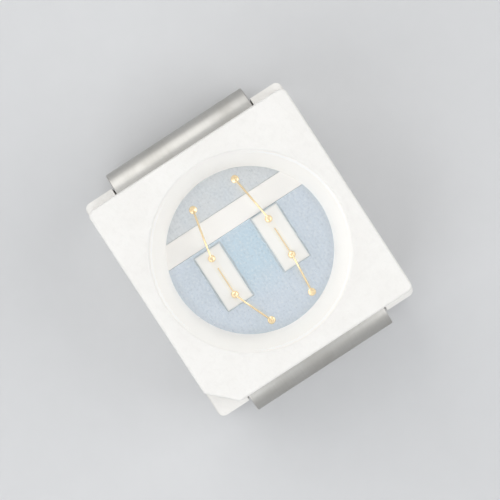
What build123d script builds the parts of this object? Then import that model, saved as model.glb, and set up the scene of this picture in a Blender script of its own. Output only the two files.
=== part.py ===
from build123d import *

import os
from math import atan2, cos, hypot, radians, sin, tan

# A two-lead surface-mount LED: a white moulded reflector housing on a stamped lead frame,
# with two long chips side by side, four gold bond wires and a clear filling.
# Millimetres, +Z up, where the light leaves. The origin is the middle of the footprint on the
# seating plane. +X points to the wide cathode lead, which carries the chips: chip a on the +Y
# side, and chip b on the side of the chamfered corner.

# Housing
overall_height = 1.90
body_width = 2.86  # along Y, where the two mould halves meet
upper_length = 2.94  # along X, the half above the leads
ear_reach = 0.09  # the lower half's corners stand out this far past the upper half
standoff = 0.05  # underside above the seating plane
mould_draft = 3.0  # degrees, on both halves
corner_radius = 0.08
top_edge_radius = 0.03
mark_leg = 0.32  # polarity chamfer on the upper half, along each side
mark_edge_radius = 0.04
gate_diameter = 0.70  # round recess of the moulding gate, on the underside
gate_depth = 0.04
gate_stub_diameter = 0.24
gate_stub_height = 0.025

# Reflector cup
cup_rim_diameter = 2.40
cup_floor_diameter = 2.08
rim_bevel = 0.02
fill_below_rim = 0.04  # edge of the filling below the rim
fill_dish = 0.05  # its surface sinks this much further in the middle

# Lead frame
lead_top = 1.00  # bonding face above the seating plane
lead_thickness = 0.15
lead_width = 2.00  # where a lead is in the open
lead_overhang = 0.28  # outer face of a lead past the upper half
lead_bend_radius = 0.10  # inside of each bend
foot_length = 0.80
foot_corner_radius = 0.06
bonding_margin = 0.11  # the bonding plates reach this far past the cup floor
shoulder_depth = 0.20  # plastic between a plate's shoulder and the end face
plate_corner_radius = 0.06
web_width = 0.28  # plastic between the two leads, in the cup floor
web_offset = 0.475  # middle of the web from the cup's middle
side_clearance = 0.02  # beside a lead in its recess
foot_clearance = 0.03  # above and behind a foot in its recess

# Chips
chip_length = 0.762
chip_width = 0.356
chip_height = 0.13
mesa_height = 0.006  # the etched light-emitting layer on the chip's top
mesa_inset = 0.014
attach_thickness = 0.02
attach_margin = 0.03  # adhesive squeezed out around a chip
attach_taper = 50.0  # degrees from upright, the adhesive's edge
chip_setbacks = {"a": 0.024, "b": 0.054}  # chip's end from the web
chip_offsets = {"a": 0.400, "b": -0.452}  # chip's middle along Y

# Contact metal on a chip
contact_diameter = 0.090
contact_thickness = 0.008
contact_gap = 0.012  # between the n contact and the edge of the mesa around it
finger_width = 0.014
finger_gap = 0.09  # between the finger's tip and the p contact
p_contact_inset = 0.11  # contact's middle from the chip's anode end
n_contact_inset = 0.13  # contact's middle from the chip's cathode end

# Bond wires
wire_diameter = 0.025
ball_diameter = 0.076  # the squashed ball on a chip's contact
ball_height = 0.024
bump_diameter = 0.100  # the ball that holds a wire's far end down on its lead
bump_height = 0.030
ball_bulge = 35.0  # degrees that a ball's side leans, out to its waist and in again
wire_flats = 8  # flats stand in for the round on pieces this thin
ball_flats = 12
loop_heights = {"anode": 0.17, "cathode": 0.12}  # above the chip's contact
loop_flat_share = 0.38  # of the span, before the wire comes down
ball_bend_radius = 0.055
loop_bend_radius = 0.16
stitches = {  # direction from the cup's middle in degrees, and distance from the cup's wall
    ("anode", "a"): (159.1, 0.141),
    ("anode", "b"): (201.8, 0.178),
    ("cathode", "a"): (23.0, 0.117),
    ("cathode", "b"): (-16.0, 0.135),
}

# Worked out from the sizes above
cup_depth = overall_height - lead_top
floor_radius = cup_floor_diameter / 2
rim_radius = cup_rim_diameter / 2
lead_bottom = lead_top - lead_thickness
lead_face = upper_length / 2 + lead_overhang
lead_toe = lead_face - foot_length
anode_edge = -web_offset - web_width / 2
cathode_edge = -web_offset + web_width / 2
plate_width = cup_floor_diameter + 2 * bonding_margin
shoulder = upper_length / 2 - shoulder_depth
chip_floor = lead_top + attach_thickness
chip_top = chip_floor + chip_height
chip_shelf = chip_top - mesa_height

on_base = (Align.CENTER, Align.CENTER, Align.MIN)
hanging = (Align.CENTER, Align.CENTER, Align.MAX)


def across(outline, width):
    """A solid with this side outline in X and Z, and this width along Y."""
    return extrude(Plane.XZ * make_face(outline), amount=width / 2, both=True)


def towards_mark(vertex):
    """Larger, the nearer a point is to the chamfered corner."""
    return vertex.X - vertex.Y


def upper_half():
    """The half above the leads, with one corner cut off to mark the cathode."""
    outline = Rectangle(upper_length, body_width)
    outline = fillet(outline.vertices().sort_by(towards_mark)[:-1], corner_radius)
    outline = chamfer(outline.vertices().sort_by(towards_mark)[-1], mark_leg)
    outline = fillet(outline.vertices().sort_by(towards_mark)[-2:], mark_edge_radius)
    block = extrude(outline, amount=cup_depth, taper=mould_draft)
    top_edges = block.faces().sort_by(Axis.Z)[-1].edges()
    return Pos(Z=lead_top) * fillet(top_edges, top_edge_radius)


def lead_recess():
    """Room for the cathode lead outside the lower half: beside its drop and around its foot."""
    wall = upper_length / 2
    ceiling = lead_thickness + foot_clearance
    slope = (lead_bottom - ceiling) * tan(radians(mould_draft))
    behind_toe = lead_toe - foot_clearance
    side = Polyline(
        (wall, lead_top),
        (wall, lead_bottom),
        (wall - slope, ceiling),
        (behind_toe, ceiling),
        (behind_toe, 0),
        (lead_face, 0),
        (lead_face, lead_top),
        close=True,
    )
    return across(side, lead_width + 2 * side_clearance)


def lower_half():
    """The half under the leads, with an ear at each corner and the moulding gate below."""
    outline = RectangleRounded(upper_length + 2 * ear_reach, body_width, corner_radius)
    block = extrude(outline, amount=lead_top - standoff, taper=mould_draft)
    block = Pos(Z=lead_top) * Rot(X=180) * block
    recess = lead_recess()
    gate = Pos(Z=standoff) * Cylinder(gate_diameter / 2, gate_depth, align=on_base)
    stub = Pos(Z=standoff + gate_depth) * Cylinder(gate_stub_diameter / 2, gate_stub_height, align=hanging)
    return block - recess - mirror(recess, about=Plane.YZ) - gate + stub


def housing(leads):
    """Both halves in one piece around the lead frame, with the reflector cup."""
    cup = Pos(Z=lead_top) * Cone(floor_radius, rim_radius, cup_depth, align=on_base)
    body = upper_half() + lower_half() - cup
    top_arcs = body.edges().filter_by(GeomType.CIRCLE).group_by(Axis.Z)[-1]
    rim = top_arcs.sort_by(SortBy.RADIUS)[-1]
    return chamfer(rim, rim_bevel) - leads


def bent_strip():
    """A lead in the open, on the cathode side: out of the housing, down, and in under it."""
    outside = FilletPolyline(
        (shoulder, lead_top),
        (lead_face, lead_top),
        (lead_face, 0),
        (lead_toe, 0),
        radius=lead_bend_radius + lead_thickness,
    )
    inside = FilletPolyline(
        (shoulder, lead_bottom),
        (lead_face - lead_thickness, lead_bottom),
        (lead_face - lead_thickness, lead_thickness),
        (lead_toe, lead_thickness),
        radius=lead_bend_radius,
    )
    ends = [Line(outside @ 0, inside @ 0), Line(outside @ 1, inside @ 1)]
    strip = across([outside, inside] + ends, lead_width)
    toe_corners = strip.edges().filter_by(Axis.Z).group_by(Axis.X)[0]
    return fillet(toe_corners, foot_corner_radius)


def lead(web_edge):
    """A whole lead on the cathode side: bonding plate from the web to its shoulders, and strip."""
    to_shoulder = (Align.MIN, Align.CENTER, Align.MAX)
    plate = Box(shoulder - web_edge, plate_width, lead_thickness, align=to_shoulder)
    plate = fillet(plate.edges().filter_by(Axis.Z), plate_corner_radius)
    return Pos(X=web_edge, Z=lead_top) * plate + bent_strip()


def chip_middle(side):
    """Middle of a chip, in plan."""
    return Pos(cathode_edge + chip_setbacks[side] + chip_length / 2, chip_offsets[side])


def contact_middle(side, pole):
    """Middle of a contact, in plan: p near its chip's anode end, n near its cathode end."""
    if pole == "p":
        return chip_middle(side) * Pos(X=p_contact_inset - chip_length / 2)
    return chip_middle(side) * Pos(X=chip_length / 2 - n_contact_inset)


def contact_outline(side, pole, grow=0.0):
    """A round contact, n with a finger along the chip's middle line, grown by a margin."""
    outline = Circle(contact_diameter / 2 + grow)
    if pole == "n":
        between = chip_length - p_contact_inset - n_contact_inset
        finger_length = between - contact_diameter / 2 - finger_gap + grow
        outline += Rectangle(finger_length, finger_width + 2 * grow, align=(Align.MAX, Align.CENTER))
    return contact_middle(side, pole) * outline


def chip(side):
    """Clear crystal with the etched layer on top, cut away around the n contact."""
    crystal = Box(chip_length, chip_width, chip_shelf - chip_floor, align=on_base)
    layer = chip_middle(side) * Rectangle(chip_length - 2 * mesa_inset, chip_width - 2 * mesa_inset)
    layer -= contact_outline(side, "n", contact_gap)
    return chip_middle(side) * Pos(Z=chip_floor) * crystal + Pos(Z=chip_shelf) * extrude(layer, mesa_height)


def chip_attach(side):
    """The adhesive bed, thinning out around the chip's foot."""
    length = chip_length + 2 * attach_margin
    width = chip_width + 2 * attach_margin
    bed = extrude(Rectangle(length, width), amount=attach_thickness, taper=attach_taper)
    return chip_middle(side) * Pos(Z=lead_top) * bed


def contact_base(pole):
    """Height of a contact's underside: p lies on the etched layer, n on the crystal beside it."""
    return chip_top if pole == "p" else chip_shelf


def contact(side, pole):
    """Contact metal, as thick all over."""
    return Pos(Z=contact_base(pole)) * extrude(contact_outline(side, pole), contact_thickness)


def squashed_ball(diameter, height):
    """A flattened ball of gold on its base, widest half-way up."""
    upper = extrude(RegularPolygon(diameter / 2, ball_flats), height / 2, taper=ball_bulge)
    return Pos(Z=height / 2) * (upper + mirror(upper, about=Plane.XY))


def bond_wire(pole_lead, side):
    """One gold wire: ball on the chip, up, over, and down to its stitch on the lead."""
    pole = "p" if pole_lead == "anode" else "n"
    start = contact_middle(side, pole).position
    contact_face = contact_base(pole) + contact_thickness
    direction, wall_distance = stitches[(pole_lead, side)]
    reach = floor_radius - wall_distance
    end = Vector(reach * cos(radians(direction)), reach * sin(radians(direction)))

    span = hypot(end.X - start.X, end.Y - start.Y)
    heading = atan2(end.Y - start.Y, end.X - start.X)
    upright = Plane(start, x_dir=(cos(heading), sin(heading), 0), z_dir=(sin(heading), -cos(heading), 0))
    loop = contact_face + loop_heights[pole_lead]
    path = upright * FilletPolyline(
        (0, contact_face + ball_height),
        (0, loop),
        (loop_flat_share * span, loop),
        (span, lead_top + bump_height / 2),
        radius=[ball_bend_radius, loop_bend_radius],
    )
    section = Plane(path @ 0, x_dir=upright.z_dir, z_dir=path % 0) * RegularPolygon(
        wire_diameter / 2, wire_flats, major_radius=False
    )
    ball = Pos(start.X, start.Y, contact_face) * squashed_ball(ball_diameter, ball_height)
    bump = Pos(end.X, end.Y, lead_top) * squashed_ball(bump_diameter, bump_height)
    return sweep(section, path=path) + ball + bump


def encapsulant(inner):
    """Clear filling of the cup around all that stands in it, its surface a shallow dish."""
    fill_level = cup_depth - fill_below_rim
    fill_radius = floor_radius + (rim_radius - floor_radius) * fill_level / cup_depth
    dish_radius = (fill_radius**2 + fill_dish**2) / (2 * fill_dish)
    filling = Cone(floor_radius, fill_radius, fill_level, align=on_base)
    dish = Pos(Z=fill_level - fill_dish + dish_radius) * Sphere(dish_radius)
    return Pos(Z=lead_top) * (filling - dish) - inner


parts = {}
parts["cathode_lead"] = lead(cathode_edge)
parts["anode_lead"] = mirror(lead(-anode_edge), about=Plane.YZ)
parts["housing"] = housing([parts["cathode_lead"], parts["anode_lead"]])

in_the_cup = {}
for side in ("a", "b"):
    in_the_cup[f"chip_{side}_attach"] = chip_attach(side)
    in_the_cup[f"chip_{side}"] = chip(side)
    in_the_cup[f"chip_{side}_p_contact"] = contact(side, "p")
    in_the_cup[f"chip_{side}_n_contact"] = contact(side, "n")
for pole_lead, side in stitches:
    in_the_cup[f"{pole_lead}_wire_{side}"] = bond_wire(pole_lead, side)
parts.update(in_the_cup)
parts["encapsulant"] = encapsulant(list(in_the_cup.values()))

os.makedirs("parts", exist_ok=True)
for name, shape in parts.items():
    export_step(shape, f"parts/{name}.step")
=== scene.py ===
import math

import bmesh
import bpy
from mathutils import Matrix, Vector


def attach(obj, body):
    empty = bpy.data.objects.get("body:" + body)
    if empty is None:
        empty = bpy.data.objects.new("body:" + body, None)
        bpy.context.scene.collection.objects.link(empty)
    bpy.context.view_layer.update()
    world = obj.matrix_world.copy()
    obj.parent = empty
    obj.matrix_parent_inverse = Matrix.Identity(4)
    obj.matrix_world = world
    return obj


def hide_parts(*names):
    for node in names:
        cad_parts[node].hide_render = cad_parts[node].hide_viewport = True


# The looks of a two-lead surface-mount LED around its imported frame. Sizes are in millimetres
# and become metres as they are used. +Z is up, where the light leaves, and +X points to the
# wide cathode lead that carries the chips.

MM = 0.001
X, Y, Z = range(3)
SLACK = 0.0015  # how near a corner counts as being on a plane
CUTTER_REACH = 0.1  # how far a cutting block runs past the face that it opens

# Housing
BODY_WIDTH = 2.86
UPPER_LENGTH = 2.94
EAR_REACH = 0.09
OVERALL_HEIGHT = 1.90
STANDOFF = 0.05
MOULD_DRAFT = math.radians(3.0)
CORNER_RADIUS = 0.08
TOP_EDGE_RADIUS = 0.03
BOTTOM_EDGE_RADIUS = 0.02
MARK_LEG = 0.32
MARK_EDGE_RADIUS = 0.04
MARK_EDGE_TURN = math.radians(45)
GATE_DIAMETER = 0.70
GATE_DEPTH = 0.04
GATE_SIDES = 96
GATE_STUB_DIAMETER = 0.24
GATE_STUB_HEIGHT = 0.025
GATE_STUB_ROOT = 0.05  # how far the stub runs into the plastic
GATE_STUB_SIDES = 64

# Cup and filling
CUP_RIM_RADIUS = 1.20
CUP_FLOOR_RADIUS = 1.04
RIM_ROUNDING = 0.02
CUP_SIDES = 192
FILL_BELOW_RIM = 0.04
FILL_DISH = 0.05
FILL_CLIMB = 0.012  # the resin wets the wall and climbs it this far
FILL_CLIMB_WIDTH = 0.05
FILL_CLIMB_POWER = 2.5  # how steeply it climbs near the wall
FILL_OVERLAP = 0.02  # the filling runs this far into wall and floor, so that no gap shows
CLIMB_RINGS = (0.0, 0.12, 0.3, 0.55, 0.8, 1.0)  # shares of the climb's width, from the wall
DISH_RINGS = (0.88, 0.76, 0.62, 0.47, 0.32, 0.17, 0.05)  # shares of the filling's radius

# Leads
LEAD_TOP = 1.00
LEAD_THICKNESS = 0.15
LEAD_WIDTH = 2.00
LEAD_OVERHANG = 0.28
LEAD_BEND_RADIUS = 0.10
BEND_STEPS = 12
FOOT_LENGTH = 0.80
FOOT_CORNER_RADIUS = 0.06
BONDING_MARGIN = 0.11
SHOULDER_DEPTH = 0.20
PLATE_CORNER_RADIUS = 0.06
STAMPED_EDGE = 0.012
WEB_WIDTH = 0.28
WEB_OFFSET = 0.475
SIDE_CLEARANCE = 0.02
FOOT_CLEARANCE = 0.03

# Chips and what joins them
CHIPS = ("a", "b")
CHIP_LENGTH = 0.762
CHIP_WIDTH = 0.356
CHIP_HEIGHT = 0.13
MESA_HEIGHT = 0.006
CHIP_SETBACKS = {"a": 0.024, "b": 0.054}
CHIP_OFFSETS = {"a": 0.400, "b": -0.452}
CONTACT_THICKNESS = 0.008
P_CONTACT_INSET = 0.11
N_CONTACT_INSET = 0.13
ATTACH_THICKNESS = 0.02
ATTACH_SIDE_MARGIN = 0.032
ATTACH_END_MARGIN = 0.022
ATTACH_CREEP = 0.045  # up the chip's sides
ATTACH_OVERLAP = 0.004  # the bead runs this far into the lead, so that no gap shows
ATTACH_TUCK = 0.002  # and its top edge this far into the chip
ATTACH_CUTS = 15
ATTACH_HOLLOW = 2.4  # how strongly the bead's side curves in
ATTACH_UNEVENNESS = 0.007
ATTACH_UNEVEN_SHARE = 0.7  # of the bead's height, above which it is even
ATTACH_SEEDS = {"a": 3, "b": 8}

# Bond wires
WIRE_DIAMETER = 0.025
WIRE_SAG = 0.005
BALL_DIAMETER = 0.076
BALL_HEIGHT = 0.024
BALL_SIDES = 36
BUMP_DIAMETER = 0.100
BUMP_HEIGHT = 0.030
LOOP_HEIGHTS = {"anode": 0.17, "cathode": 0.12}
LOOP_FLAT_SHARE = 0.38  # of the way along, where the wire starts to come down

# Outlines from the base up, as shares of a radius and a height. The ball's and the bump's take
# their own, and the neck takes the wire's radius and the ball's height.
BALL_OUTLINE = ((0.86, 0.0), (0.96, 0.14), (1.0, 0.34), (0.95, 0.55), (0.80, 0.66), (0.62, 0.74))
NECK_OUTLINE = ((1.25, 0.98), (0.9, 1.25))
BUMP_OUTLINE = (
    (0.90, 0.0),
    (0.98, 0.15),
    (1.0, 0.32),
    (0.94, 0.50),
    (0.74, 0.62),
    (0.50, 0.72),
    (0.42, 0.92),
    (0.20, 1.0),
)

# Where each wire's far end lies: its direction in degrees, and its distance from the cup's wall
STITCHES = {
    ("anode", "a"): (159.1, 0.141),
    ("anode", "b"): (201.8, 0.178),
    ("cathode", "a"): (23.0, 0.117),
    ("cathode", "b"): (-16.0, 0.135),
}

# Sizes and places that follow from these
CUP_DEPTH = OVERALL_HEIGHT - LEAD_TOP
CUP_TAPER = (CUP_RIM_RADIUS - CUP_FLOOR_RADIUS) / CUP_DEPTH
LEAD_BOTTOM = LEAD_TOP - LEAD_THICKNESS
LEAD_FACE = UPPER_LENGTH / 2 + LEAD_OVERHANG
LEAD_TOE = LEAD_FACE - FOOT_LENGTH
BEND_MIDDLE = LEAD_FACE - LEAD_THICKNESS - LEAD_BEND_RADIUS
UPPER_BEND = LEAD_BOTTOM - LEAD_BEND_RADIUS
FOOT_BEND = LEAD_THICKNESS + LEAD_BEND_RADIUS
ANODE_EDGE = -WEB_OFFSET - WEB_WIDTH / 2
CATHODE_EDGE = -WEB_OFFSET + WEB_WIDTH / 2
PLATE_WIDTH = 2 * (CUP_FLOOR_RADIUS + BONDING_MARGIN)
SHOULDER = UPPER_LENGTH / 2 - SHOULDER_DEPTH
CHIP_FLOOR = LEAD_TOP + ATTACH_THICKNESS
CHIP_TOP = CHIP_FLOOR + CHIP_HEIGHT
CHIP_SHELF = CHIP_TOP - MESA_HEIGHT

# Where a tone in a surface starts, and where it is full
RIM_FADE = (CUP_RIM_RADIUS + RIM_ROUNDING, CUP_RIM_RADIUS - 0.01)  # from the cup's middle
PARTING_FADE = (0.007, 0.002)  # from the leads' top
PARTING_DEPTH = 0.01  # how far in from the body's sides its line runs
# The plates' painted reflection: bluer and darker in the middle, lighter further out
PLATE_REFLECTION_FADE = (0.60, 1.15)  # from the cup's middle
# Painted shade on the plates near the cup's wall
WALL_SHADE_FADE = (CUP_FLOOR_RADIUS - 0.13, CUP_FLOOR_RADIUS)  # from the cup's middle
SHEARED_FADE = (0.062, 0.045)  # from the middle of the metal's thickness
BEND_FADE = (BEND_MIDDLE, LEAD_FACE - 0.05)  # from the middle of the part
CHANNEL_FADE = (0.060, 0.035)  # from a chip's middle line
CHANNEL_END_FADE = (CHIP_LENGTH / 2, CHIP_LENGTH / 2 - 0.09)  # from a chip's middle, along it
SCRIBED_FADE = (0.020, 0.012)  # from a chip's edge
BACKGROUND_FADE = (30, 250)  # from the part

# Colours, in linear light
WHITE_CLOUDED = (0.852, 0.836, 0.808)
WHITE_CLEAN = (0.878, 0.864, 0.838)
WHITE_PORES = (0.70, 0.68, 0.65)
# Lighter than the white outside the cup: painted light that lifts the shade on the cup's walls and
# floor
WHITE_UNDER_RESIN_PAINTED_LIGHT = (0.985, 0.968, 0.945)
WHITE_FLECKS = (0.62, 0.60, 0.56)
# Bluer and darker in the cup's middle, lighter further out: painted reflection of what is overhead
PLATE_MIDDLE_PAINTED_REFLECTION = (0.615, 0.775, 0.888)
PLATE_AROUND = (0.723, 0.796, 0.884)
PLATE_SMALL = (0.785, 0.806, 0.818)
PLATE_TARNISH = (0.575, 0.650, 0.715)
PLATE_GLINTS = (0.86, 0.90, 0.93)
PLATE_PITS = (0.42, 0.47, 0.52)
# Dark of the rolled lines, also used as painted shade near the cup's wall
PLATE_LINES_AND_SHADE = (0.42, 0.44, 0.45)
# Outside the cup the same silver is painted darker: painted shade, which also tones down the
# highlights on the bends; tarnish is real
STRIP_SHADED_CLEAN = (0.500, 0.492, 0.470)
STRIP_SHADED_TARNISH = (0.445, 0.434, 0.408)
STRIP_LINES = (0.36, 0.35, 0.33)
BARE_COPPER = (0.74, 0.36, 0.21)
CRYSTAL_WARM = (0.905, 0.892, 0.862)
CRYSTAL_COOL = (0.885, 0.879, 0.858)
CRYSTAL_CHANNEL = (0.90, 0.875, 0.82)
CRYSTAL_SCRIBED = (0.76, 0.77, 0.76)
CRYSTAL_SIDES = (0.88, 0.91, 0.90)
# The adhesive's tones, darker than the adhesive itself: partly painted shade along the chips' sides
ADHESIVE_SHADE_DARK = (0.47, 0.53, 0.58)
ADHESIVE_SHADE_PALE = (0.62, 0.67, 0.70)
GOLD_PALE = (1.0, 0.81, 0.53)
GOLD_DEEP = (0.97, 0.76, 0.45)
RESIN_TINT = (1.0, 1.0, 0.995)
FLOOR_DARK = (0.625, 0.63, 0.64)
FLOOR_PALE = (0.65, 0.655, 0.665)
HORIZON = (0.64, 0.645, 0.655)
OVERHEAD = (0.84, 0.85, 0.86)
WARM_LIGHT = (1.0, 0.99, 0.97)
PLAIN_LIGHT = (1.0, 1.0, 1.0)
COOL_LIGHT = (0.97, 0.985, 1.0)

# Light and camera
FLOOR_RADIUS = 1000
LAMP_DISTANCE = 110
LAMP_FROM_ZENITH = math.radians(50)
AMBIENT_STRENGTH = 0.45
CAMERA_DISTANCE = 20.4
CAMERA_AIM = 1.2  # the height that it looks at
CAMERA_TILT = math.radians(1.5)  # to the anode's side of straight above
CAMERA_LENS = 120
PICTURE_RIGHT = (0.546, 0.838, 0)  # what points right in the picture, before the tilt

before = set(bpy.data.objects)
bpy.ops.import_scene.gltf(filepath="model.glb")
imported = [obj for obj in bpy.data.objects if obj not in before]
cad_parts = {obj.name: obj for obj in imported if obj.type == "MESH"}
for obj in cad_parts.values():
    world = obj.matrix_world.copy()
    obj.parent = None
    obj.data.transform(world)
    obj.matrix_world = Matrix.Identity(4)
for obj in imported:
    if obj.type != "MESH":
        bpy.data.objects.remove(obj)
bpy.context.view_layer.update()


# Modelling


def at(x, y, z):
    """A place in metres, from millimetres."""
    return Vector((x, y, z)) * MM


def deselect():
    """Back to object mode with nothing selected."""
    if bpy.context.mode != "OBJECT":
        bpy.ops.object.mode_set(mode="OBJECT")
    bpy.ops.object.select_all(action="DESELECT")


def alone(piece):
    """Makes this the only selected piece, in object mode."""
    deselect()
    piece.select_set(True)
    bpy.context.view_layer.objects.active = piece


def named(name):
    """Names the primitive that was just added, and moves its place into its mesh."""
    piece = bpy.context.object
    piece.name = name
    bpy.ops.object.transform_apply(location=True, rotation=True, scale=True)
    return piece


def block(name, low, high):
    """A box between two corners."""
    deselect()
    low, high = at(*low), at(*high)
    bpy.ops.mesh.primitive_cube_add(size=1, location=(low + high) / 2, scale=high - low)
    return named(name)


def drum(name, bottom_radius, top_radius, low, high, sides=CUP_SIDES):
    """A round block around the cup's axis, straight or tapered, between two heights."""
    deselect()
    bpy.ops.mesh.primitive_cone_add(
        vertices=sides,
        radius1=bottom_radius * MM,
        radius2=top_radius * MM,
        depth=(high - low) * MM,
        location=at(0, 0, (low + high) / 2),
    )
    return named(name)


def pick(piece, kind, test):
    """In edit mode, selects what passes a test of its corners, given in millimetres."""
    if bpy.context.mode != "EDIT_MESH" or bpy.context.object != piece:
        alone(piece)
        bpy.ops.object.mode_set(mode="EDIT")
    bpy.ops.mesh.select_mode(type=kind)
    bpy.ops.mesh.select_all(action="DESELECT")
    mesh = bmesh.from_edit_mesh(piece.data)
    elements = {"VERT": mesh.verts, "EDGE": mesh.edges, "FACE": mesh.faces}[kind]
    for element in elements:
        corners = [element] if kind == "VERT" else element.verts
        element.select_set(test([corner.co / MM for corner in corners]))
    bmesh.update_edit_mesh(piece.data)


def everything(places):
    """A test that all pass."""
    return True


def upright(places):
    """A test for an edge that stands upright."""
    return math.dist(places[0][:2], places[1][:2]) < SLACK


def on(axis, value):
    """A test that all corners are at this value along an axis."""
    return lambda places: all(abs(place[axis] - value) < SLACK for place in places)


def either_side(axis, value):
    """A test that all corners are at this value along an axis, or at its opposite."""
    return lambda places: all(abs(abs(place[axis]) - value) < SLACK for place in places)


def within(axis, low, high):
    """A test that all corners are between two values along an axis."""
    return lambda places: all(low - SLACK < place[axis] < high + SLACK for place in places)


def both(first, second):
    """A test that passes where two others do."""
    return lambda places: first(places) and second(places)


def extrude(x=0.0, z=0.0):
    """Pulls the selected faces out by this much."""
    bpy.ops.mesh.extrude_region_move(TRANSFORM_OT_translate={"value": at(x, 0, z)})


def resize(x_share, y_share, centre):
    """Shrinks what is selected around a place, by one share in X and one in Y."""
    bpy.ops.transform.resize(value=(x_share, y_share, 1), center_override=at(*centre))


def bevel(width, steps, kind="EDGES"):
    """Rounds the selected edges or corners."""
    bpy.ops.mesh.bevel(offset=width * MM, segments=steps, affect=kind)


def apply_modifier(piece, kind, **settings):
    """Adds a modifier with these settings and applies it."""
    alone(piece)
    modifier = piece.modifiers.new(kind.lower(), kind)
    for setting, value in settings.items():
        setattr(modifier, setting, value)
    bpy.ops.object.modifier_apply(modifier=modifier.name)


def combine(piece, other, operation, keep=False):
    """Adds another solid to a piece, or takes it away."""
    apply_modifier(piece, "BOOLEAN", object=other, operation=operation, solver="EXACT")
    if not keep:
        bpy.data.objects.remove(other)


def flipped(piece, name):
    """A copy of a cathode-side piece for the anode side."""
    alone(piece)
    bpy.ops.object.duplicate()
    copy = bpy.context.object
    copy.name = name
    bpy.ops.object.mode_set(mode="EDIT")
    bpy.ops.mesh.select_all(action="SELECT")
    bpy.ops.transform.resize(value=(-1, 1, 1), center_override=(0, 0, 0))
    bpy.ops.mesh.normals_make_consistent(inside=False)
    bpy.ops.object.mode_set(mode="OBJECT")
    return copy


def tidy_mesh(piece):
    """Merges doubled corners and turns all faces outwards."""
    alone(piece)
    bpy.ops.object.mode_set(mode="EDIT")
    bpy.ops.mesh.select_all(action="SELECT")
    bpy.ops.mesh.remove_doubles(threshold=MM * 1e-5)
    bpy.ops.mesh.normals_make_consistent(inside=False)
    bpy.ops.object.mode_set(mode="OBJECT")


def dress(piece, material, slot, *nodes, crease=30):
    """Finishes a piece: shading, material, and the CAD nodes that it stands for."""
    alone(piece)
    bpy.ops.object.shade_smooth_by_angle(angle=math.radians(crease))
    apply_modifier(piece, "WEIGHTED_NORMAL", keep_sharp=True)
    piece.data.materials.clear()
    piece.data.materials.append(material)
    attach(piece, "root")
    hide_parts(*nodes)


def chip_middle(chip):
    """Middle of a chip, in plan."""
    return Vector((CATHODE_EDGE + CHIP_SETBACKS[chip] + CHIP_LENGTH / 2, CHIP_OFFSETS[chip]))


# Materials


class Value:
    """A socket's value, which is used in maths as a number is."""

    def __init__(self, socket):
        self.socket = socket

    def maths(self, operation, *others):
        """This value and the others, put through a Math node."""
        node = self.socket.id_data.nodes.new("ShaderNodeMath")
        node.operation = operation
        for place, value in enumerate((self, *others)):
            connect(node.inputs[place], value)
        return Value(node.outputs[0])

    def __add__(self, other):
        return self.maths("ADD", other)

    def __sub__(self, other):
        return self.maths("SUBTRACT", other)

    def __rsub__(self, other):
        return self.maths("MULTIPLY_ADD", -1.0, other)

    def __mul__(self, other):
        return self.maths("MULTIPLY", other)

    def __gt__(self, other):
        return self.maths("GREATER_THAN", other)

    def __lt__(self, other):
        return self.maths("LESS_THAN", other)

    def __abs__(self):
        return self.maths("ABSOLUTE")

    __radd__ = __add__
    __rmul__ = __mul__


def connect(socket, value):
    """Links a value to a socket, or sets the socket to a plain number or colour."""
    if isinstance(value, Value):
        socket.id_data.links.new(value.socket, socket)
    elif isinstance(socket.default_value, (int, float)):
        socket.default_value = value
    else:
        socket.default_value = (*value, 1.0)[: len(socket.default_value)]


class Finish:
    """The nodes of one material, or of the world."""

    def __init__(self, owner):
        owner.use_nodes = True
        self.owner = owner
        self.tree = owner.node_tree
        self.tree.nodes.clear()

    def node(self, kind, settings=None, sockets=None, output=0):
        """Adds a node with these settings, then these socket values or links."""
        node = self.tree.nodes.new("ShaderNode" + kind)
        for setting, value in (settings or {}).items():
            setattr(node, setting, value)
        for name, value in (sockets or {}).items():
            connect(node.inputs[name], value)
        return Value(node.outputs[output]) if node.outputs else None

    def place(self):
        """Object coordinates, in metres."""
        return self.node("TexCoord", output="Object")

    def millimetres(self, place):
        """Each of a place's three coordinates, in millimetres."""
        apart = {"Vector": place}
        metres = [self.node("SeparateXYZ", sockets=apart, output=axis) for axis in "XYZ"]
        return [coordinate * (1 / MM) for coordinate in metres]

    def noise(self, place, scale, detail=2.0, stretch=None):
        """Cloudy noise from 0 to 1, its scale in lumps per millimetre."""
        if stretch:
            place = self.node("Mapping", sockets={"Vector": place, "Scale": stretch})
        sockets = {"Vector": place, "Scale": scale / MM, "Detail": detail, "Roughness": 0.6}
        return self.node("TexNoise", sockets=sockets)

    def step(self, value, start, end):
        """0 up to start and 1 from end on, smooth in between. End may be the smaller."""
        sockets = {"Value": value, "From Min": start, "From Max": end}
        return self.node("MapRange", {"interpolation_type": "SMOOTHSTEP"}, sockets)

    def in_cup(self, radius, z, low):
        """1 inside the cup's rim and above a height, 0 elsewhere."""
        return self.step(radius, *RIM_FADE) * (z > low)

    def blend(self, factor, first, second):
        """A mix of two colours."""
        return self.node("Mix", {"data_type": "RGBA"}, {0: factor, 6: first, 7: second}, output=2)

    def bump(self, height, strength, depth):
        """Relief in the surface, its depth in millimetres."""
        sockets = {"Height": height, "Strength": strength, "Distance": depth * MM}
        return self.node("Bump", sockets=sockets)

    def surface(self, **sockets):
        """The main shader, its sockets named with _ for a space."""
        named_sockets = {name.replace("_", " "): value for name, value in sockets.items()}
        return self.node("BsdfPrincipled", sockets=named_sockets)

    def show(self, shader):
        """Puts a shader on the output."""
        kind = "OutputWorld" if isinstance(self.owner, bpy.types.World) else "OutputMaterial"
        self.node(kind, sockets={"Surface": shader})
        return self.owner


def new_finish(name):
    """An empty material."""
    return Finish(bpy.data.materials.new(name))


def from_axis(x, y):
    """Distance from the cup's axis."""
    return (x * x + y * y).maths("SQRT")


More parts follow.
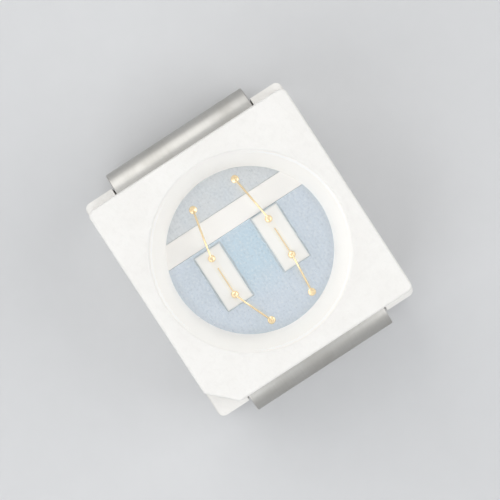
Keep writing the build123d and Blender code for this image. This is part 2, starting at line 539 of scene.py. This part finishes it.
def white_moulding():
    """Reflector plastic: matt where the mould was eroded, without gloss under the resin, and painted
    lighter there to lift the cup's shade.
    """
    finish = new_finish("white_moulding")
    place = finish.place()
    x, y, z = finish.millimetres(place)
    in_cup = finish.in_cup(from_axis(x, y), z, LEAD_TOP - SLACK)
    grain = finish.noise(place, 15, detail=6)
    cloud = finish.noise(place, 1.6, detail=4)
    cell = finish.node("TexVoronoi", sockets={"Vector": place, "Scale": 11 / MM})
    fleck = finish.step(cell, 0.13, 0.05)
    parting = finish.step(abs(z - LEAD_TOP), *PARTING_FADE) * (abs(y) > BODY_WIDTH / 2 - PARTING_DEPTH)
    colour = finish.blend(finish.step(cloud, 0.35, 0.68), WHITE_CLOUDED, WHITE_CLEAN)
    colour = finish.blend(0.10 * finish.step(grain, 0.52, 0.36), colour, WHITE_PORES)
    # Painted light: the plastic in the cup is made lighter, to lift the shade on its walls
    colour = finish.blend(in_cup, colour, WHITE_UNDER_RESIN_PAINTED_LIGHT)
    colour = finish.blend(0.08 * fleck + 0.35 * parting, colour, WHITE_FLECKS)
    relief = grain * (1 - 0.85 * in_cup) + 0.35 * cloud + 0.5 * parting
    shader = finish.surface(
        Base_Color=colour,
        Roughness=0.48 + 0.14 * grain + 0.44 * in_cup,
        IOR=1.52,
        Normal=finish.bump(relief, strength=0.9, depth=0.012),
    )
    return finish.show(shader)


def silver_plate():
    """Silver on rolled copper, with fine lines along it, bare copper where it was sheared, and painted
    reflection and shade.
    """
    finish = new_finish("silver_plate")
    place = finish.place()
    x, y, z = finish.millimetres(place)
    radius = from_axis(x, y)
    in_cup = finish.in_cup(radius, z, LEAD_BOTTOM)
    lines = finish.noise(place, 1, detail=3, stretch=(1.2, 48, 1.2))
    grain = finish.noise(place, 30, detail=3)
    tarnish = finish.step(finish.noise(place, 1.9, detail=4), 0.38, 0.68)
    # Painted reflection: the plate bluer and darker in the cup's middle, lighter towards the wall
    around = finish.step(radius + 0.8 * finish.noise(place, 0.9), *PLATE_REFLECTION_FADE)
    plate = finish.blend(around, PLATE_MIDDLE_PAINTED_REFLECTION, PLATE_AROUND)
    plate = finish.blend(x < ANODE_EDGE, plate, PLATE_SMALL)
    plate = finish.blend(0.45 * tarnish, plate, PLATE_TARNISH)
    plate = finish.blend(0.45 * finish.step(grain, 0.50, 0.68), plate, PLATE_GLINTS)
    plate = finish.blend(0.30 * finish.step(grain, 0.46, 0.32), plate, PLATE_PITS)
    # Painted shade: the plate darker near the cup's wall, in the same dark as its rolled lines
    painted_wall_shade = finish.step(radius, *WALL_SHADE_FADE)
    plate = finish.blend(0.15 * painted_wall_shade + 0.25 * lines, plate, PLATE_LINES_AND_SHADE)
    # Painted shade: the strips outside the cup darker than the plating inside, with real tarnish over
    # it
    strip = finish.blend(tarnish, STRIP_SHADED_CLEAN, STRIP_SHADED_TARNISH)
    strip = finish.blend(0.3 * lines, strip, STRIP_LINES)
    toe = (abs(x) < LEAD_TOE + SLACK) * (z < LEAD_THICKNESS)
    sheared = toe * finish.step(abs(z - LEAD_THICKNESS / 2), *SHEARED_FADE)
    bends = finish.step(abs(x), *BEND_FADE)
    roughness = 0.30 - 0.07 * in_cup + 0.12 * lines + 0.06 * (tarnish + bends) + 0.2 * sheared
    shader = finish.surface(
        Base_Color=finish.blend(sheared, finish.blend(in_cup, strip, plate), BARE_COPPER),
        Metallic=1.0,
        Roughness=roughness,
        Normal=finish.bump(lines + grain * (0.5 + 0.6 * bends), strength=0.5, depth=0.0010),
    )
    return finish.show(shader)


def chip_crystal():
    """Clear crystal over a mirror: bright, with the etched channel along the middle."""
    finish = new_finish("chip_crystal")
    place = finish.place()
    x, y, z = finish.millimetres(place)
    on_a = y > 0.0
    middle_a, middle_b = chip_middle("a"), chip_middle("b")
    across = abs(y - middle_b.y - on_a * (middle_a.y - middle_b.y))
    along = abs(x - middle_b.x - on_a * (middle_a.x - middle_b.x))
    channel = finish.step(across, *CHANNEL_FADE) * finish.step(along, *CHANNEL_END_FADE)
    from_edge = (CHIP_WIDTH / 2 - across).maths("MINIMUM", CHIP_LENGTH / 2 - along)
    scribed = finish.step(from_edge, *SCRIBED_FADE)
    on_top = z > CHIP_SHELF - SLACK
    cloud = finish.noise(place, 5, detail=4)
    grain = finish.noise(place, 60, detail=2)
    top = finish.blend(cloud, CRYSTAL_WARM, CRYSTAL_COOL)
    top = finish.blend(channel, top, CRYSTAL_CHANNEL)
    top = finish.blend(0.5 * scribed, top, CRYSTAL_SCRIBED)
    shader = finish.surface(
        Base_Color=finish.blend(on_top, CRYSTAL_SIDES, top),
        Roughness=0.30 - 0.14 * on_top + 0.1 * grain,
        IOR=1.77,
        Coat_Weight=0.5 * on_top,
        Coat_Roughness=0.08,
        Normal=finish.bump(grain, strength=0.3, depth=0.0008),
    )
    return finish.show(shader)


def chip_adhesive():
    """The thin wet-looking bead of adhesive around a chip, its dark tones partly painted shade along
    the chip's sides.
    """
    finish = new_finish("chip_adhesive")
    cloud = finish.noise(finish.place(), 9, detail=4)
    shader = finish.surface(
        # Adhesive tone, darkened as painted shade along the chip's sides
        Base_Color=finish.blend(cloud, ADHESIVE_SHADE_DARK, ADHESIVE_SHADE_PALE),
        Roughness=0.18 + 0.15 * cloud,
        IOR=1.5,
        Normal=finish.bump(cloud, strength=0.4, depth=0.004),
    )
    return finish.show(shader)


def bonding_gold():
    """Pure gold, drawn fine in the wires and pressed in the balls."""
    finish = new_finish("bonding_gold")
    place = finish.place()
    grain = finish.noise(place, 90, detail=3)
    cloud = finish.noise(place, 14, detail=2)
    shader = finish.surface(
        Base_Color=finish.blend(cloud, GOLD_PALE, GOLD_DEEP),
        Metallic=1.0,
        Roughness=0.16 + 0.16 * grain,
        Normal=finish.bump(grain, strength=0.35, depth=0.0008),
    )
    return finish.show(shader)


def clear_resin():
    """Clear casting resin, which lets the lamps through to what it covers."""
    finish = new_finish("clear_resin")
    ripple = finish.noise(finish.place(), 1.1, detail=1)
    glass = finish.surface(
        Base_Color=RESIN_TINT,
        Roughness=0.02,
        IOR=1.51,
        Transmission_Weight=1.0,
        Normal=finish.bump(ripple, strength=0.15, depth=0.004),
    )
    seen = finish.node("LightPath", output="Is Camera Ray")
    clear = finish.node("BsdfTransparent", sockets={"Color": RESIN_TINT})
    return finish.show(finish.node("MixShader", sockets={0: seen, 1: clear, 2: glass}))


white = white_moulding()
silver = silver_plate()
crystal = chip_crystal()
adhesive = chip_adhesive()
gold = bonding_gold()
resin = clear_resin()


# Leads


def bend_strip(height):
    """Folds the selected end face a quarter turn inwards around the inside of a bend."""
    bpy.ops.mesh.spin(
        steps=BEND_STEPS,
        angle=math.radians(-90),
        center=at(BEND_MIDDLE, 0, height),
        axis=(0, 1, 0),
    )


def lead(name, web_edge):
    """A lead on the cathode side: bonding plate, strip out of the housing, drop and foot."""
    half_plate = PLATE_WIDTH / 2
    half_strip = LEAD_WIDTH / 2
    piece = block(name, (web_edge, -half_plate, LEAD_BOTTOM), (SHOULDER, half_plate, LEAD_TOP))
    for side in (-half_strip, half_strip):
        pick(piece, "FACE", everything)
        bpy.ops.mesh.bisect(plane_co=at(0, side, 0), plane_no=(0, 1, 0))
    pick(piece, "EDGE", both(upright, either_side(Y, half_plate)))
    bevel(PLATE_CORNER_RADIUS, steps=6)
    pick(piece, "FACE", both(on(X, SHOULDER), within(Y, -half_strip, half_strip)))
    extrude(x=BEND_MIDDLE - SHOULDER)
    bend_strip(UPPER_BEND)
    extrude(z=FOOT_BEND - UPPER_BEND)
    bend_strip(FOOT_BEND)
    extrude(x=LEAD_TOE - BEND_MIDDLE)
    pick(piece, "EDGE", both(upright, on(X, LEAD_TOE)))
    bevel(FOOT_CORNER_RADIUS, steps=6)
    tidy_mesh(piece)
    return piece


def round_stamped_edges(piece):
    """Rounds a lead's sharp edges, once the housing has been cut to fit it."""
    apply_modifier(
        piece,
        "BEVEL",
        width=STAMPED_EDGE * MM,
        segments=3,
        limit_method="ANGLE",
        angle_limit=math.radians(50),
    )


cathode_lead = lead("cathode_lead_strip", CATHODE_EDGE)
anode_blank = lead("anode_blank", -ANODE_EDGE)
anode_lead = flipped(anode_blank, "anode_lead_strip")
bpy.data.objects.remove(anode_blank)


# Housing


def drawn_half(name, length, far, edge_radius, chamfered=False):
    """Half of the housing, from the leads' top to its far face, narrowed by the mould's draft."""
    deselect()
    bpy.ops.mesh.primitive_plane_add(size=1, location=at(0, 0, LEAD_TOP))
    bpy.context.object.scale = (length * MM, BODY_WIDTH * MM, 1)
    piece = named(name)
    if chamfered:
        pick(piece, "VERT", lambda places: places[0].x > 0 > places[0].y)
        bevel(MARK_LEG, steps=1, kind="VERTICES")
    pick(piece, "VERT", both(either_side(X, length / 2), either_side(Y, BODY_WIDTH / 2)))
    bevel(CORNER_RADIUS, steps=8, kind="VERTICES")
    if chamfered:
        mark = (length + BODY_WIDTH) / 2 - MARK_LEG - SLACK
        pick(piece, "VERT", lambda places: places[0].x - places[0].y > mark)
        bevel(MARK_EDGE_RADIUS * math.tan(MARK_EDGE_TURN / 2), steps=3, kind="VERTICES")
    pick(piece, "FACE", everything)
    extrude(z=far - LEAD_TOP)
    inset = abs(far - LEAD_TOP) * math.tan(MOULD_DRAFT)
    resize(1 - 2 * inset / length, 1 - 2 * inset / BODY_WIDTH, (0, 0, far))
    pick(piece, "EDGE", on(Z, far))
    bevel(edge_radius, steps=4)
    tidy_mesh(piece)
    return piece


def cut_cup(body):
    """Cuts the tapered cup and rounds its rim."""
    flare = CUTTER_REACH * CUP_TAPER
    cup = drum(
        "cup",
        CUP_FLOOR_RADIUS - flare,
        CUP_RIM_RADIUS + flare,
        LEAD_TOP - CUTTER_REACH,
        OVERALL_HEIGHT + CUTTER_REACH,
    )
    combine(body, cup, "DIFFERENCE")

    def around_cup(places):
        return all(abs(place.xy.length - CUP_RIM_RADIUS) < 2 * SLACK for place in places)

    pick(body, "EDGE", both(on(Z, OVERALL_HEIGHT), around_cup))
    bevel(RIM_ROUNDING, steps=4)


def lead_room():
    """The cathode lead's room outside the lower half: beside its drop, and around its foot."""
    wall = UPPER_LENGTH / 2
    outside = LEAD_FACE + CUTTER_REACH
    half = LEAD_WIDTH / 2 + SIDE_CLEARANCE
    ceiling = LEAD_THICKNESS + FOOT_CLEARANCE
    room = block("lead_room", (wall, -half, ceiling), (outside, half, LEAD_TOP))
    pick(room, "FACE", on(Z, ceiling))
    extrude(z=-ceiling - STANDOFF)
    pick(room, "FACE", both(on(X, wall), within(Z, -STANDOFF, ceiling)))
    extrude(x=LEAD_TOE - FOOT_CLEARANCE - wall)
    pick(room, "EDGE", both(on(X, wall), on(Z, ceiling)))
    slope = (LEAD_BOTTOM - ceiling) * math.tan(MOULD_DRAFT)
    bpy.ops.transform.translate(value=at(-slope, 0, 0))
    tidy_mesh(room)
    return room


def mark_gate(lower):
    """Sinks the round gate mark in the underside, with the stub where the sprue broke off."""
    ceiling = STANDOFF + GATE_DEPTH
    gate_radius = GATE_DIAMETER / 2
    gate = drum("gate", gate_radius, gate_radius, STANDOFF - CUTTER_REACH, ceiling, GATE_SIDES)
    combine(lower, gate, "DIFFERENCE")
    stub_radius = GATE_STUB_DIAMETER / 2
    tip, root = ceiling - GATE_STUB_HEIGHT, ceiling + GATE_STUB_ROOT
    stub = drum("gate_stub", stub_radius, stub_radius, tip, root, GATE_STUB_SIDES)
    combine(lower, stub, "UNION")


def moulded_housing():
    """Both halves as one piece, with the cup, and cut by the leads that it is moulded around."""
    body = drawn_half(
        "moulded_housing", UPPER_LENGTH, OVERALL_HEIGHT, TOP_EDGE_RADIUS, chamfered=True
    )
    cut_cup(body)
    lower_length = UPPER_LENGTH + 2 * EAR_REACH
    lower = drawn_half("lower_half", lower_length, STANDOFF, BOTTOM_EDGE_RADIUS)
    room = lead_room()
    combine(lower, flipped(room, "anode_room"), "DIFFERENCE")
    combine(lower, room, "DIFFERENCE")
    mark_gate(lower)
    combine(body, lower, "UNION")
    combine(body, cathode_lead, "DIFFERENCE", keep=True)
    combine(body, anode_lead, "DIFFERENCE", keep=True)
    tidy_mesh(body)
    return body


dress(moulded_housing(), white, "white_resin", "housing")

for piece, node in ((cathode_lead, "cathode_lead"), (anode_lead, "anode_lead")):
    round_stamped_edges(piece)
    dress(piece, silver, "silver_plate", node, crease=35)


# Filling


def filling():
    """Clear filling with a dished top that climbs a little where it wets the wall."""
    edge_height = OVERALL_HEIGHT - FILL_BELOW_RIM
    edge_radius = CUP_FLOOR_RADIUS + CUP_TAPER * (edge_height - LEAD_TOP)
    base_radius = CUP_FLOOR_RADIUS + FILL_OVERLAP - CUP_TAPER * FILL_OVERLAP
    radius, height = edge_radius + FILL_OVERLAP, edge_height
    piece = drum("cup_filling", base_radius, radius, LEAD_TOP - FILL_OVERLAP, edge_height)
    pick(piece, "FACE", on(Z, edge_height))
    bpy.ops.mesh.delete(type="ONLY_FACE")
    pick(piece, "EDGE", on(Z, edge_height))
    rings = [edge_radius - FILL_CLIMB_WIDTH * share for share in CLIMB_RINGS]
    rings += [edge_radius * share for share in DISH_RINGS]
    for ring in rings:
        wet = max(0.0, 1 - (edge_radius - ring) / FILL_CLIMB_WIDTH)
        dish = (FILL_DISH - FILL_CLIMB) * (1 - (ring / edge_radius) ** 2)
        level = edge_height - FILL_CLIMB - dish + FILL_CLIMB * wet**FILL_CLIMB_POWER
        rise = {"value": at(0, 0, level - height)}
        bpy.ops.mesh.extrude_edges_move(TRANSFORM_OT_translate=rise)
        resize(ring / radius, ring / radius, (0, 0, level))
        radius, height = ring, level
    bpy.ops.mesh.merge(type="CENTER")
    tidy_mesh(piece)
    return piece


dress(filling(), resin, "clear_resin", "encapsulant", crease=60)


# Adhesive


def adhesive_bead(chip):
    """The bed under a chip, and the uneven bead around it that creeps up the chip's sides."""
    middle = chip_middle(chip)
    half_length = CHIP_LENGTH / 2 + ATTACH_END_MARGIN
    half_width = CHIP_WIDTH / 2 + ATTACH_SIDE_MARGIN
    low, rise = LEAD_TOP - ATTACH_OVERLAP, ATTACH_CREEP + ATTACH_OVERLAP
    piece = block(
        f"chip_{chip}_bead",
        (middle.x - half_length, middle.y - half_width, low),
        (middle.x + half_length, middle.y + half_width, low + rise),
    )
    pick(piece, "FACE", everything)
    bpy.ops.mesh.subdivide(number_cuts=ATTACH_CUTS)
    for step in range(1, ATTACH_CUTS + 2):
        share = step / (ATTACH_CUTS + 1)
        level = low + rise * share
        drawn_in = 1 - (1 - share) ** ATTACH_HOLLOW
        pick(piece, "VERT", on(Z, level))
        resize(
            1 - drawn_in * (ATTACH_END_MARGIN + ATTACH_TUCK) / half_length,
            1 - drawn_in * (ATTACH_SIDE_MARGIN + ATTACH_TUCK) / half_width,
            (*middle, level),
        )
    uneven_top = low + rise * ATTACH_UNEVEN_SHARE
    pick(piece, "VERT", lambda places: low + SLACK < places[0].z < uneven_top)
    bpy.ops.transform.vertex_random(
        offset=ATTACH_UNEVENNESS * MM, uniform=1.0, seed=ATTACH_SEEDS[chip]
    )
    apply_modifier(piece, "SUBSURF", levels=1, render_levels=1)
    return piece


for chip in CHIPS:
    dress(adhesive_bead(chip), adhesive, "chip_adhesive", f"chip_{chip}_attach", crease=80)


# Bond wires


def scaled(outline, radius, height):
    """An outline in millimetres, from its shares of a radius and a height."""
    return [(radius * across, height * up) for across, up in outline]


def turned_ball(name, centre, low, outline):
    """A round pressed ball: rings of (radius, height above low) from its base to its top."""
    radius, height = outline[0]
    deselect()
    bpy.ops.mesh.primitive_circle_add(
        vertices=BALL_SIDES, radius=radius * MM, fill_type="NGON", location=at(*centre, low)
    )
    piece = named(name)
    pick(piece, "FACE", everything)
    for ring, level in outline[1:]:
        extrude(z=level - height)
        resize(ring / radius, ring / radius, (*centre, low + level))
        radius, height = ring, level
    tidy_mesh(piece)
    return piece


def drawn_wire(points):
    """A round wire along a smooth line that these points guide."""
    line = bpy.data.curves.new("wire_line", "CURVE")
    line.dimensions = "3D"
    line.bevel_depth = WIRE_DIAMETER / 2 * MM
    line.bevel_resolution = 4
    line.resolution_u = 14
    line.use_fill_caps = True
    spline = line.splines.new("NURBS")
    spline.points.add(len(points) - 1)
    for point, place in zip(spline.points, points):
        point.co = (*at(*place), 1)
    spline.order_u = 3
    spline.use_endpoint_u = True
    wire = bpy.data.objects.new("wire", line)
    bpy.context.scene.collection.objects.link(wire)
    alone(wire)
    bpy.ops.object.convert(target="MESH")
    tidy_mesh(wire)
    return wire


def bond_wire(pole, chip):
    """One gold wire with its ball on the chip and the bump that holds its far end."""
    if pole == "anode":
        along, contact_seat = P_CONTACT_INSET - CHIP_LENGTH / 2, CHIP_TOP
    else:
        along, contact_seat = CHIP_LENGTH / 2 - N_CONTACT_INSET, CHIP_SHELF
    start = chip_middle(chip) + Vector((along, 0))
    base = contact_seat + CONTACT_THICKNESS
    direction, from_wall = STITCHES[(pole, chip)]
    out, turn = CUP_FLOOR_RADIUS - from_wall, math.radians(direction)
    end = Vector((out * math.cos(turn), out * math.sin(turn)))

    outline = scaled(BALL_OUTLINE, BALL_DIAMETER / 2, BALL_HEIGHT)
    outline += scaled(NECK_OUTLINE, WIRE_DIAMETER / 2, BALL_HEIGHT)
    ball = turned_ball(f"{pole}_wire_{chip}_gold", start, base, outline)
    bump = turned_ball("bump", end, LEAD_TOP, scaled(BUMP_OUTLINE, BUMP_DIAMETER / 2, BUMP_HEIGHT))

    loop = base + LOOP_HEIGHTS[pole]
    neck = base + BALL_HEIGHT
    flat_end = start.lerp(end, LOOP_FLAT_SHARE)
    points = [
        (*start, base + 0.6 * BALL_HEIGHT),  # inside the ball
        (*start, neck + 0.4 * (loop - neck)),  # straight up from it
        (*start.lerp(end, 0.01), loop),  # the bend at the top
        (*start.lerp(end, 0.5 * LOOP_FLAT_SHARE), loop),
        (*flat_end, loop - WIRE_SAG),  # the end of the level stretch
        (*flat_end.lerp(end, 0.55), LEAD_TOP + 0.5 * (loop - LEAD_TOP)),
        (*flat_end.lerp(end, 0.93), LEAD_TOP + 0.9 * BUMP_HEIGHT),
        (*end, LEAD_TOP + 0.45 * BUMP_HEIGHT),  # inside the bump
    ]
    combine(ball, drawn_wire(points), "UNION")
    combine(ball, bump, "UNION")
    tidy_mesh(ball)
    return ball


for pole, chip in STITCHES:
    dress(bond_wire(pole, chip), gold, "gold", f"{pole}_wire_{chip}", crease=60)


# CAD nodes whose shape is right as it is


def recolour(node, material):
    """Gives a CAD node its material."""
    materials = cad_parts[node].data.materials
    materials.clear()
    materials.append(material)


for chip in CHIPS:
    recolour(f"chip_{chip}", crystal)
    recolour(f"chip_{chip}_p_contact", gold)
    recolour(f"chip_{chip}_n_contact", gold)


# Floor


def floor_finish():
    """Pale and matt near the part, running out into the plain background far away."""
    finish = new_finish("pale_floor")
    place = finish.place()
    x, y = finish.millimetres(place)[:2]
    far = finish.step(from_axis(x, y), *BACKGROUND_FADE)
    grain = finish.noise(place, 3, detail=3)
    matt = finish.surface(Base_Color=finish.blend(grain, FLOOR_DARK, FLOOR_PALE), Roughness=0.8)
    plain = finish.node("Emission", sockets={"Color": HORIZON})
    return finish.show(finish.node("MixShader", sockets={0: far, 1: matt, 2: plain}))


deselect()
bpy.ops.mesh.primitive_circle_add(vertices=64, radius=FLOOR_RADIUS * MM, fill_type="NGON")
floor = named("floor")
floor.data.materials.append(floor_finish())


# Light


def softbox(name, bearing, size, share, colour):
    """A square lamp aimed at the part, its bearing in degrees from +X.

    A share of 1 would light a white surface that faces it to plain white.
    """
    out, turn = math.sin(LAMP_FROM_ZENITH), math.radians(bearing)
    ray = Vector((out * math.cos(turn), out * math.sin(turn), math.cos(LAMP_FROM_ZENITH)))
    place = ray * LAMP_DISTANCE * MM
    aim = place.to_track_quat("Z", "Y").to_euler()
    bpy.ops.object.light_add(type="AREA", location=place, rotation=aim)
    lamp = bpy.context.object
    lamp.name = name
    lamp.data.size = size * MM
    lamp.data.color = colour
    lamp.data.energy = share * math.pi**2 * place.length_squared


def studio():
    """A plain pale room: an even light on the part, and what its metal and glass show."""
    sky = Finish(bpy.data.worlds.new("studio"))
    rays = ("Is Camera Ray", "Is Glossy Ray", "Is Transmission Ray")
    seen, mirrored, refracted = (sky.node("LightPath", output=ray) for ray in rays)
    shown = seen.maths("MAXIMUM", mirrored).maths("MAXIMUM", refracted)
    direction = sky.node("TexCoord", output="Generated")
    height = sky.node("SeparateXYZ", sockets={"Vector": direction}, output="Z")
    gradient = sky.blend(sky.step(height, 0.0, 0.75), HORIZON, OVERHEAD)
    even = sky.node("Background", sockets={"Color": COOL_LIGHT, "Strength": AMBIENT_STRENGTH})
    backdrop = sky.node("Background", sockets={"Color": gradient, "Strength": 1.0})
    return sky.show(sky.node("MixShader", sockets={0: shown, 1: even, 2: backdrop}))


softbox("key", bearing=194, size=110, share=0.455, colour=WARM_LIGHT)
softbox("fill_right", bearing=65, size=100, share=0.420, colour=PLAIN_LIGHT)
softbox("fill_front", bearing=-69, size=100, share=0.420, colour=COOL_LIGHT)
bpy.context.scene.world = studio()


# Camera


def photograph_view():
    """A long lens nearly straight above the part, turned as the photograph is."""
    back = Vector((-math.sin(CAMERA_TILT), 0, math.cos(CAMERA_TILT)))
    right = Vector(PICTURE_RIGHT)
    right = (right - right.dot(back) * back).normalized()
    turn = Matrix((right, back.cross(right), back)).transposed().to_4x4()
    place = at(0, 0, CAMERA_AIM) + back * CAMERA_DISTANCE * MM
    deselect()
    bpy.ops.object.camera_add()
    camera = bpy.context.object
    camera.matrix_world = Matrix.Translation(place) @ turn
    camera.data.lens = CAMERA_LENS
    camera.data.clip_start = MM
    camera.data.clip_end = 10
    return camera


bpy.context.scene.camera = photograph_view()
bpy.context.scene.view_settings.view_transform = "Standard"
